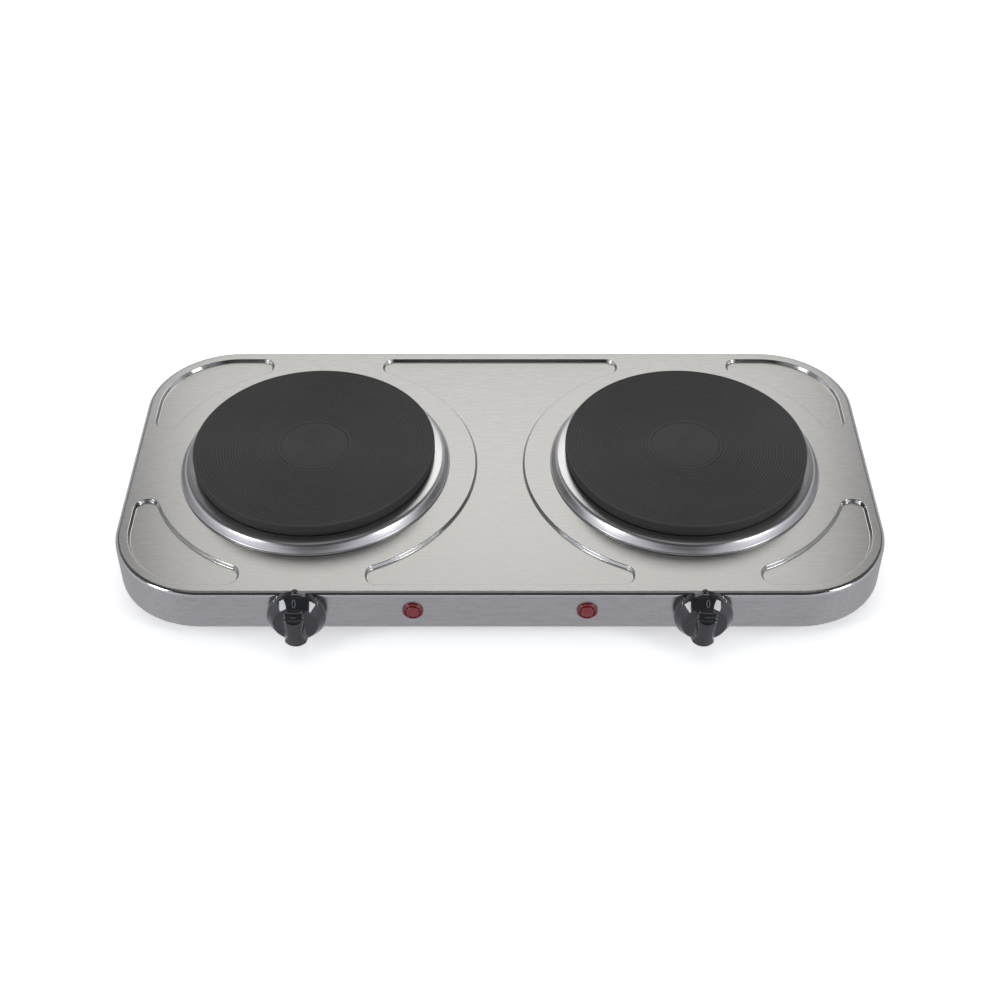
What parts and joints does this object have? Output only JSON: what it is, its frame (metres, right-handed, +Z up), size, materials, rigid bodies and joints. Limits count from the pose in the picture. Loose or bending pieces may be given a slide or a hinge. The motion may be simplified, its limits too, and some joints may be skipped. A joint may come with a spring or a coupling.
{
  "type": "hot plate burner",
  "caption": "Long table-top electric hot plate with round cast iron plates side by side in an embossed steel tray, each with a front rotary knob and a red pilot lamp.",
  "frame": {"origin": "on the table, under the middle of the whole object's box", "axes": "+X to the right seen from the knobs, +Y from the knobs to the rear, +Z up"},
  "size_m": [0.477, 0.265, 0.0543],
  "materials": {
    "tray_steel": "stainless sheet brushed along its length",
    "ring_steel": "bright stainless, turned",
    "galvanised_sheet": "dull zinc coated sheet",
    "zinc_steel": "bright zinc plated",
    "cast_iron": "matt black coated, finely turned on top",
    "black_plastic": "glossy moulded",
    "red_lens": "clear red moulded",
    "rubber": "matt moulded",
    "switch_plastic": "moulded",
    "ceramic": "unglazed ceramic",
    "cement": "pressed insulating cement",
    "fibre": "pressed mineral fibre",
    "lead_sleeve": "woven glass sleeve"
  },
  "bodies": {
    "cabinet": {"top_housing": "tray_steel", "base_plate": "galvanised_sheet", "front_left_foot": "rubber", "front_left_foot_screw": "zinc_steel", "front_left_base_screw": "zinc_steel", "front_right_foot": "rubber", "front_right_foot_screw": "zinc_steel", "front_right_base_screw": "zinc_steel", "rear_left_foot": "rubber", "rear_left_foot_screw": "zinc_steel", "rear_left_base_screw": "zinc_steel", "rear_right_foot": "rubber", "rear_right_foot_screw": "zinc_steel", "rear_right_base_screw": "zinc_steel", "cord_gland": "rubber", "gland_nut": "black_plastic", "mains_terminal": "switch_plastic", "earth_screw": "zinc_steel", "left_hotplate": "cast_iron", "left_heating_element": "cement", "left_spill_ring": "ring_steel", "left_plate_gasket": "fibre", "left_heat_shield": "galvanised_sheet", "left_clamp_bridge": "galvanised_sheet", "left_plate_stud": "zinc_steel", "left_stud_nut": "zinc_steel", "left_plate_terminal": "ceramic", "left_knob_bezel": "black_plastic", "left_switch": "switch_plastic", "left_switch_screw_left": "zinc_steel", "left_switch_screw_right": "zinc_steel", "left_pilot_lens": "red_lens", "left_pilot_body": "switch_plastic", "left_element_lead": "lead_sleeve", "left_supply_lead": "lead_sleeve", "left_lamp_lead": "lead_sleeve", "right_hotplate": "cast_iron", "right_heating_element": "cement", "right_spill_ring": "ring_steel", "right_plate_gasket": "fibre", "right_heat_shield": "galvanised_sheet", "right_clamp_bridge": "galvanised_sheet", "right_plate_stud": "zinc_steel", "right_stud_nut": "zinc_steel", "right_plate_terminal": "ceramic", "right_knob_bezel": "black_plastic", "right_switch": "switch_plastic", "right_switch_screw_left": "zinc_steel", "right_switch_screw_right": "zinc_steel", "right_pilot_lens": "red_lens", "right_pilot_body": "switch_plastic", "right_element_lead": "lead_sleeve", "right_supply_lead": "lead_sleeve", "right_lamp_lead": "lead_sleeve"},
    "left_control": {"left_knob": "black_plastic", "left_spindle": "zinc_steel"},
    "right_control": {"right_knob": "black_plastic", "right_spindle": "zinc_steel"}
  },
  "joints": [
    {"name": "left_knob_turn", "type": "hinge", "parent": "cabinet", "child": "left_control", "pos_m": [-0.12175, -0.1125, 0.0245], "axis": [0, 1, 0], "range_deg": [0, 290]},
    {"name": "right_knob_turn", "type": "hinge", "parent": "cabinet", "child": "right_control", "pos_m": [0.12175, -0.1125, 0.0245], "axis": [0, 1, 0], "range_deg": [-4, 286]}
  ]
}
